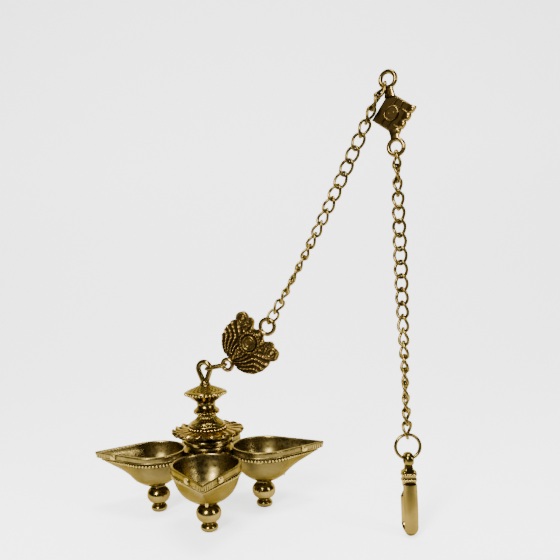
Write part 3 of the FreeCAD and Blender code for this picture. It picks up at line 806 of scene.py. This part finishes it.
def relief_mesh(name, place, centre, edge, height, back, rings=90, sides=480, edge_round=0.5):
    """A cast plate in the XZ plane. edge(turn) is its outline about centre, height(x, z) its face."""
    rows, recess = [], []
    for k in range(rings + 1):
        share = (k + 0.4) / (rings + 0.4)
        row = []
        for j in range(sides):
            a = 2 * math.pi * j / sides
            far = edge(a)
            r = far * share
            x, z = centre[0] + r * math.cos(a), centre[1] + r * math.sin(a)
            h, dark = height(x, z)
            fall = edge_round * ramp(far - r, 0.7, 0.0)
            row.append(place @ (Vector((x, -(h - fall), z)) * MM))
            recess.append(dark * ramp(far - r, 0.0, 0.6))
        rows.append(row)
    for level in (0.35, 0.7, 1.0):
        row = []
        for j in range(sides):
            a = 2 * math.pi * j / sides
            far = edge(a) - (0.5 if level == 1.0 else 0.0)
            x, z = centre[0] + far * math.cos(a), centre[1] + far * math.sin(a)
            front = -(height(x, z)[0] - edge_round)
            row.append(place @ (Vector((x, front + (back - front) * level, z)) * MM))
            # the plate's edge and back are painted a little dark: painted shade
            recess.append(0.25)
        rows.append(row)
    return grid_mesh(name, rows, recess=recess)


# %% The square plaque
RING_OUT = 22.65        # from the boss to the middle of either ring
tilt = math.radians(5.0)
level = Vector((math.cos(SQUARE_PLANE), math.sin(SQUARE_PLANE), 0))
square_axis = level * -math.sin(tilt) + up * math.cos(tilt)
square_middle = Vector((0, 0, -3.65)) * MM - square_axis * RING_OUT * MM
square_place = axes_matrix(square_middle, level, square_axis)
HALF = 10.4


def square_edge(a):
    """Distance from the boss to the plate's edge, with four lobes on the lower right edge."""
    c, s = math.cos(a + math.pi / 4), math.sin(a + math.pi / 4)
    reach = HALF / max(abs(c), abs(s))
    if c > abs(s):
        across = reach * s
        lobe = abs(((across + HALF) / (HALF / 2)) % 1 - 0.5) * 2
        reach += 1.9 * math.sqrt(max(0.0, 1 - lobe ** 2.6)) + 0.35
    return reach


def square_height(x, z):
    u = (x - z) / math.sqrt(2)
    v = (x + z) / math.sqrt(2)
    r = math.hypot(u, v)
    # dark is how dark the metal is painted: patina and painted shade in the low parts; below 0, on ribs, rim
    # and dots, it is a painted highlight
    h, dark = 0.0, 0.97
    for middle in (-2.6, 2.6):
        rib = bump_at(u, middle, 0.75) * ramp(HALF - abs(v), 0.3, 1.4)
        h, dark = max(h, 1.2 * rib), dark - rib
    rim = max(bump_at(abs(u), HALF - 0.5, 0.6) if u < 0 else 0, bump_at(abs(v), HALF - 0.5, 0.6))
    h, dark = max(h, 0.5 * rim), dark - 0.35 * rim
    if u > HALF - 3.4:
        lobe = abs(((v + HALF) / (HALF / 2)) % 1 - 0.5) * 2
        dome = ramp(u, HALF - 3.4, HALF + 0.8) * math.sqrt(max(0, 1 - lobe ** 2))
        h, dark = 1.5 * dome, 0.95 - 1.5 * ramp(u + 0.8 * lobe, HALF - 0.6, HALF + 1.0)
    cross = bump_at(abs(v), HALF / 2, 0.6) * ramp(u, 4.6, 5.6)
    h, dark = max(h, 0.7 * cross), dark - 0.7 * cross
    if r < 5.5:
        wall = ramp(5.4 - r, 0.0, 0.7)
        ring = bump_at(r, 4.5, 0.7)
        h, dark = (0.9 + 1.1 * ring) * wall + h * (1 - wall), 0.92 - ring
        for px in (-1.5, 1.5):
            dot = bump_at(math.hypot(x - px, z - 0.2), 0, 0.8)
            h, dark = h + 0.7 * dot, dark - dot
    return h, max(-0.5, dark)


def drop_ring(middle, away, name):
    """A cast ring joined to the plate by a tapered web; away is the direction from the plate."""
    across = level
    ring = wire(ring_path(middle, across, away, PLAQUE_RING), 1.5 * MM, cast_brass, sides=28)
    face = across.cross(away).normalized()
    rows = []
    for k in range(13):
        t = k / 12
        down = -(4.2 + 7.6 * t)
        half = 2.2 + 1.6 * t + 1.3 * (1 - t) ** 4
        row = []
        for j in range(24):
            a = 2 * math.pi * j / 24
            wide, deep = squared(math.cos(a), 0.6) * half, squared(math.sin(a), 0.6) * 1.25
            row.append(middle + (across * wide + away * down + face * deep) * MM)
        rows.append(row)
    return [ring, grid_mesh(name, rows)]


plate = relief_mesh("square_plate", square_place @ Matrix.Translation((0, 1.5 * MM, 0)), (0, 0), square_edge,
                    raised(square_height, 1.4), 1.5)
upper_ring = square_middle + square_axis * RING_OUT * MM
lower_ring = square_middle - square_axis * RING_OUT * MM
square = joined("square", [plate, *drop_ring(upper_ring, square_axis, "web"),
                           *drop_ring(lower_ring, -square_axis, "web")])
finished("square_plaque_cast", square, cast_brass, "square_plaque", ["square_plaque"], 50)
print("square plaque faces", len(square.polygons))

# %% [markdown]
# ## The leaf plaque
# This casting is an acanthus fan. Long flutes sweep up from the small ring round a dished boss, and end
# in two scrolls. The plate's outline is five arcs a side, like the engineering part's.

# %% The leaf plaque
at, _ = joint_at("leaf_plaque")
before, _ = joint_at("lower_link_20")
leaf_top = at + (at - before).normalized() * 2.82 * MM
leaf_low = oval_start - oval_fall * 4.2 * MM
leaf_axis = (leaf_top - leaf_low).normalized()
chain_normal = Vector((-along_plane.y, along_plane.x, 0))
leaf_place = axes_matrix(leaf_low, chain_normal.cross(leaf_axis), leaf_axis)
BOSS = (0.0, 26.5)
LEAF_ARCS = (((2.2, 4.6), (11.5, 6.0), (17.0, 9.5)), ((17.0, 9.5), (22.6, 20.5), (21.5, 30.5)),
             ((21.5, 30.5), (22.4, 38.2), (15.8, 39.6)), ((15.8, 39.6), (11.6, 41.4), (8.6, 37.6)),
             ((8.6, 37.6), (6.0, 37.4), (3.0, 41.0)))
edge_points = [(0.0, LEAF_ARCS[0][0][1])]
for a, b, c in LEAF_ARCS:
    edge_points += outline([a, ("arc", b, c)], 24)
edge_points.append((0.0, LEAF_ARCS[-1][2][1]))
edge_turns = [math.atan2(x - BOSS[0], BOSS[1] - z) for x, z in edge_points]
edge_far = [math.hypot(x - BOSS[0], z - BOSS[1]) for x, z in edge_points]


def leaf_edge(a):
    """Distance from the boss to the leaf's edge; the turn is measured from the lower tip both ways."""
    from_low = abs((a + math.pi / 2 + math.pi) % (2 * math.pi) - math.pi)
    far = float(np.interp(from_low, edge_turns, edge_far))
    lobes = 0.45 * abs(math.sin(from_low * 11)) if 0.35 < from_low < 2.3 else 0
    return far - 0.45 + lobes


def leaf_height(x, z):
    s = abs(x)
    r = math.hypot(x, z - BOSS[1])
    fan = math.atan2(s, z + 1.0)                      # which flute, from the stem outward
    far = math.hypot(s, z + 1.0)
    bend = fan * 6.2 - 0.05 * far + 0.35 * math.sin(far * 0.32)
    wave = 0.5 + 0.5 * math.cos(2 * math.pi * bend)
    crest = wave ** 1.4
    leaflet = 0.5 + 0.5 * math.cos(far * 2.4 + 3.0 * bend)
    grow = ramp(far, 4.0, 11.0)
    h = 0.1 + grow * crest * (1.5 + 0.7 * leaflet)
    # the cuts between flutes are painted dark with patina and painted shade, and the crests painted bright as
    # a painted highlight
    dark = 1.1 - 1.9 * crest * (0.35 + 0.65 * leaflet)
    knob = math.hypot(s - 17.3, z - 35.2)
    if knob < 5.2:
        turn = math.atan2(z - 35.2, s - 17.3)
        curl = 0.5 + 0.5 * math.cos(2 * math.pi * (knob / 2.3 + turn / (2 * math.pi)))
        mix = ramp(5.2 - knob, 0, 1.0)
        h = h * (1 - mix) + mix * (0.8 + 1.0 * curl * ramp(knob, 1.2, 2.2) + 2.0 * bump_at(knob, 0, 1.7))
        dark = dark * (1 - mix) + mix * (0.9 - 0.9 * max(curl * ramp(knob, 1.2, 2.2), bump_at(knob, 0, 1.7)))
    striped = ramp(z, 29.0, 31.0) * ramp(s, 8.5, 10.0) * ramp(knob, 4.6, 5.6)
    if striped:
        line = 0.5 + 0.5 * math.cos(2 * math.pi * (s * 0.55 + z * 0.25))
        h = h * (1 - striped) + striped * (0.5 + 0.8 * line)
        dark = dark * (1 - striped) + striped * (0.9 - 0.8 * line)
    vee = bump_at(s - (z - 6.0) * 0.19, 0.0, 0.8) * ramp(z, 6, 8) * ramp(19.5 - z, 0, 1)
    h, dark = max(h, 1.7 * vee), dark - vee
    if r < 9.4:
        turn = math.atan2(x, z - BOSS[1])
        petals = abs(math.cos(turn * 13)) ** 0.6
        mix = ramp(9.4 - r, 0, 0.5)
        ring = bump_at(r, 7.6, 1.5) * petals
        dish = 1.5 + 1.1 * bump_at(r, 5.1, 0.9) + 0.7 * bump_at(r, 2.7, 0.6) if r < 5.6 else 0.0
        h = h * (1 - mix) + mix * max(0.4 + 1.5 * ring, dish)
        top = max(ring, bump_at(r, 5.1, 0.9), bump_at(r, 2.7, 0.6), 0.55 if r < 4.3 else 0)
        dark = dark * (1 - mix) + mix * (0.95 - 0.95 * top)
    return h, min(1.0, max(-0.7, dark))


fan = relief_mesh("leaf_plate", leaf_place, BOSS, leaf_edge, raised(leaf_height, 0.9), 1.7,
                  rings=110, sides=600)


def cast_ring(along, major, radius):
    """A ring of the leaf plaque, its middle this far along the plaque."""
    middle = leaf_place @ Vector((0, 0, along * MM))
    loop = ring_path(middle, leaf_place.col[0].xyz, leaf_place.col[2].xyz, major)
    return wire(loop, radius * MM, cast_brass, sides=28)


leaf = joined("leaf", [fan, cast_ring(45.8, 5.65, 1.6), cast_ring(0, 4.2, 1.7)])
finished("leaf_plaque_cast", leaf, cast_brass, "leaf_plaque", ["leaf_plaque"], 50)
print("leaf plaque faces", len(leaf.polygons))

# %% [markdown]
# ## The ceiling hook
# The hook is a bent strip with a crowned outer face, below a short moulded collar. The collar carries
# two beaded bands. Its eye is a broad band that hangs on the round ring.

# %% The ceiling hook
hook_at, _ = joint_at("ceiling_hook")
hook_middle = hook_at - up * 0.27 * MM


def squircle(half_x, half_y, z, power=0.45, n=64):
    """A level outline between an ellipse and a box."""
    points = []
    for k in range(n):
        c, s = math.cos(2 * math.pi * k / n), math.sin(2 * math.pi * k / n)
        points.append(Vector((squared(c, power) * half_x, squared(s, power) * half_y, z)))
    return points


# half width, half depth and height of each level of the collar
collar = [(2.6, 2.2, -4.4), (2.9, 2.4, -6.6), (3.6, 2.8, -7.5), (4.6, 3.3, -8.0), (4.9, 3.5, -8.8),
          (4.9, 3.5, -11.2), (4.6, 3.2, -11.6), (4.6, 3.2, -12.8), (4.8, 3.35, -13.2), (4.8, 3.35, -15.0),
          (4.5, 3.1, -15.4), (4.5, 2.9, -17.4), (4.4, 2.4, -18.4)]
hook_parts = [grid_mesh("collar", [[hook_middle + p * MM for p in squircle(x, y, z)] for x, y, z in collar])]
for z in (-10.3, -14.05):
    path = [hook_middle + p * MM for p in squircle(4.55, 3.3, z, 0.7)]
    hook_parts.append(beads(path, 22, 0.9 * MM, cast_brass, tall=1.1))

rows = []
for k in range(48):
    a = 2 * math.pi * k / 48
    row = []
    for j in range(32):
        b = 2 * math.pi * j / 32
        out = 3.3 + 1.65 * math.cos(b)
        row.append(hook_middle + Vector((2.9 * math.sin(b), out * math.cos(a), out * math.sin(a))) * MM)
    rows.append(row)
hook_parts.append(grid_mesh("eye", rows + rows[:1], ends=(False, False)))

# the strip runs down the front, round the bend and up to its free end
BOTTOM, BEND, FRONT, STRIP_TOP, FREE_LENGTH = 5.0 - 58.2, 5.5, -2.0, -17.0, 27.0
centre = Vector((0, FRONT + BEND, BOTTOM + 1.8 + BEND))
path = []
for z in np.linspace(STRIP_TOP, centre.z, 24):
    swell = 0.045 * math.sin(math.pi * (z - STRIP_TOP) / -27)
    path.append((Vector((0, FRONT, z)), Vector((0, -1, 0)), 1.0 + swell))
for a in np.radians(np.linspace(0, 180, 33)[1:]):
    out = Vector((0, -math.cos(a), -math.sin(a)))
    path.append((centre + out * BEND, out, 1.0 - 0.22 * ramp(a, 1.5, 3.1) - 0.32 * math.sin(a) ** 4))
for z in np.linspace(centre.z, BOTTOM + FREE_LENGTH, 20)[1:]:
    left = max(0.0, BOTTOM + FREE_LENGTH - z)
    width = 0.5 + 0.28 * ramp(left, 0, 3.0)
    path.append((Vector((0, centre.y + BEND, z)), Vector((0, 1, 0)), width))
rows = []
for point, out, width in path:
    row = []
    for j in range(40):
        a = 2 * math.pi * j / 40
        across, lift = squared(math.cos(a), 0.9), squared(math.sin(a), 1.2)
        thick = 3.0 if lift > 0 else 1.5
        row.append(hook_middle + (point + Vector((1, 0, 0)) * across * 4.7 * width + out * lift * thick) * MM)
    rows.append(row)
hook_parts.append(grid_mesh("strip", rows))
hook = joined("hook", hook_parts)
finished("ceiling_hook_bent", hook, turned_brass, "ceiling_hook", ["ceiling_hook"], 40)
print("hook faces", len(hook.polygons))

# %% [markdown]
# ## The hub stays
# The hub under the flange is cut to fit round the four bowls. Its engineering shape is already right, so
# it keeps its shape and only gets the aged brass.

# %% Better metal on the hub
bpy.data.objects["hub"].data.materials[0] = turned_brass

# %% [markdown]
# ## The set
# A pale sweep of paper curves up behind the lamp, as in a studio. The lamp rests on it, and the hook
# just clears it. Broad soft lights give long gentle highlights on the turned brass.

# %% Floor, lights and camera
curve_up = [(0.55 + 0.5 * math.sin(a), 0.5 - 0.5 * math.cos(a)) for a in np.radians(range(6, 91, 6))]
sweep = [(-1.2, 0.0), (0.55, 0.0), *curve_up, (1.05, 1.8)]
rows = [[(x, y, z + table - 0.0001) for x in np.linspace(-2.2, 2.2, 5)] for y, z in sweep]
floor_mesh = grid_mesh("floor", rows, around=False, ends=(False, False))
floor = in_scene("floor", floor_mesh)
paper = bpy.data.materials.new("paper")
paper.use_nodes = True
tree = paper.node_tree
sheet = tree.nodes["Principled BSDF"].inputs
sheet["Roughness"].default_value = 0.9
sheet["Emission Color"].default_value = (1, 1, 1, 1)
# the paper glows softly round the lamp, a painted pool of light, and is painted darker nearer the camera, a
# painted shade that keeps the brass's reflections dark
apart = tree.nodes.new("ShaderNodeSeparateXYZ")
tree.links.new(tree.nodes.new("ShaderNodeTexCoord").outputs["Object"], apart.inputs[0])
glow = tree.nodes.new("ShaderNodeMapRange")
for socket, value in (("From Min", -0.115), ("From Max", -0.035), ("To Min", 0.12), ("To Max", 1.7)):
    glow.inputs[socket].default_value = value
shade = tree.nodes.new("ShaderNodeMath")
shade.operation = "MULTIPLY"
shade.inputs[1].default_value = 0.53
tree.links.new(apart.outputs["Y"], glow.inputs["Value"])
tree.links.new(glow.outputs["Result"], shade.inputs[0])
tree.links.new(shade.outputs[0], sheet["Base Color"])
tree.links.new(glow.outputs["Result"], sheet["Emission Strength"])
floor_mesh.materials.append(paper)
floor_mesh.shade_smooth()


def soft_light(name, at, power, wide, high):
    data = bpy.data.lights.new(name, "AREA")
    data.shape, data.size, data.size_y, data.energy = "RECTANGLE", wide, high, power
    light = in_scene(name, data)
    light.location = at
    aim = Vector((-0.06, 0.02, -0.2)) - Vector(at)
    light.rotation_euler = aim.to_track_quat("-Z", "Y").to_euler()


soft_light("key", (-0.5, -0.8, 0.35), 28, 0.2, 0.5)
soft_light("fill", (0.8, -0.65, 0.2), 10, 0.12, 0.6)
soft_light("top", (0.0, -0.2, 0.95), 20, 0.45, 0.3)
world = bpy.data.worlds.new("studio")
world.use_nodes = True
world.node_tree.nodes["Background"].inputs["Color"].default_value = (1, 1, 1, 1)
world.node_tree.nodes["Background"].inputs["Strength"].default_value = 0.06
bpy.context.scene.world = world

camera_data = bpy.data.cameras.new("camera")
camera_data.sensor_width, camera_data.lens = 36.0, 36.477
camera_data.shift_x, camera_data.shift_y = 0.1103, 0.0685
camera_data.clip_start = 0.01
camera = in_scene("camera", camera_data)
level_ahead = Vector((-0.0326, 0.9995, 0)).normalized()
ahead = (level_ahead * math.cos(math.radians(3.0)) - up * math.sin(math.radians(3.0))).normalized()
right = ahead.cross(up).normalized()
above = right.cross(ahead)
roll = math.radians(3.2)
cam_x = right * math.cos(roll) - above * math.sin(roll)
cam_y = right * math.sin(roll) + above * math.cos(roll)
pose = Matrix((cam_x, cam_y, -ahead)).transposed().to_4x4()
pose.translation = lamp_axis + Vector((28.18, -450.07, 176.84)) * MM
camera.matrix_world = pose
bpy.context.scene.camera = camera
print("camera at", [round(v, 4) for v in camera.location])
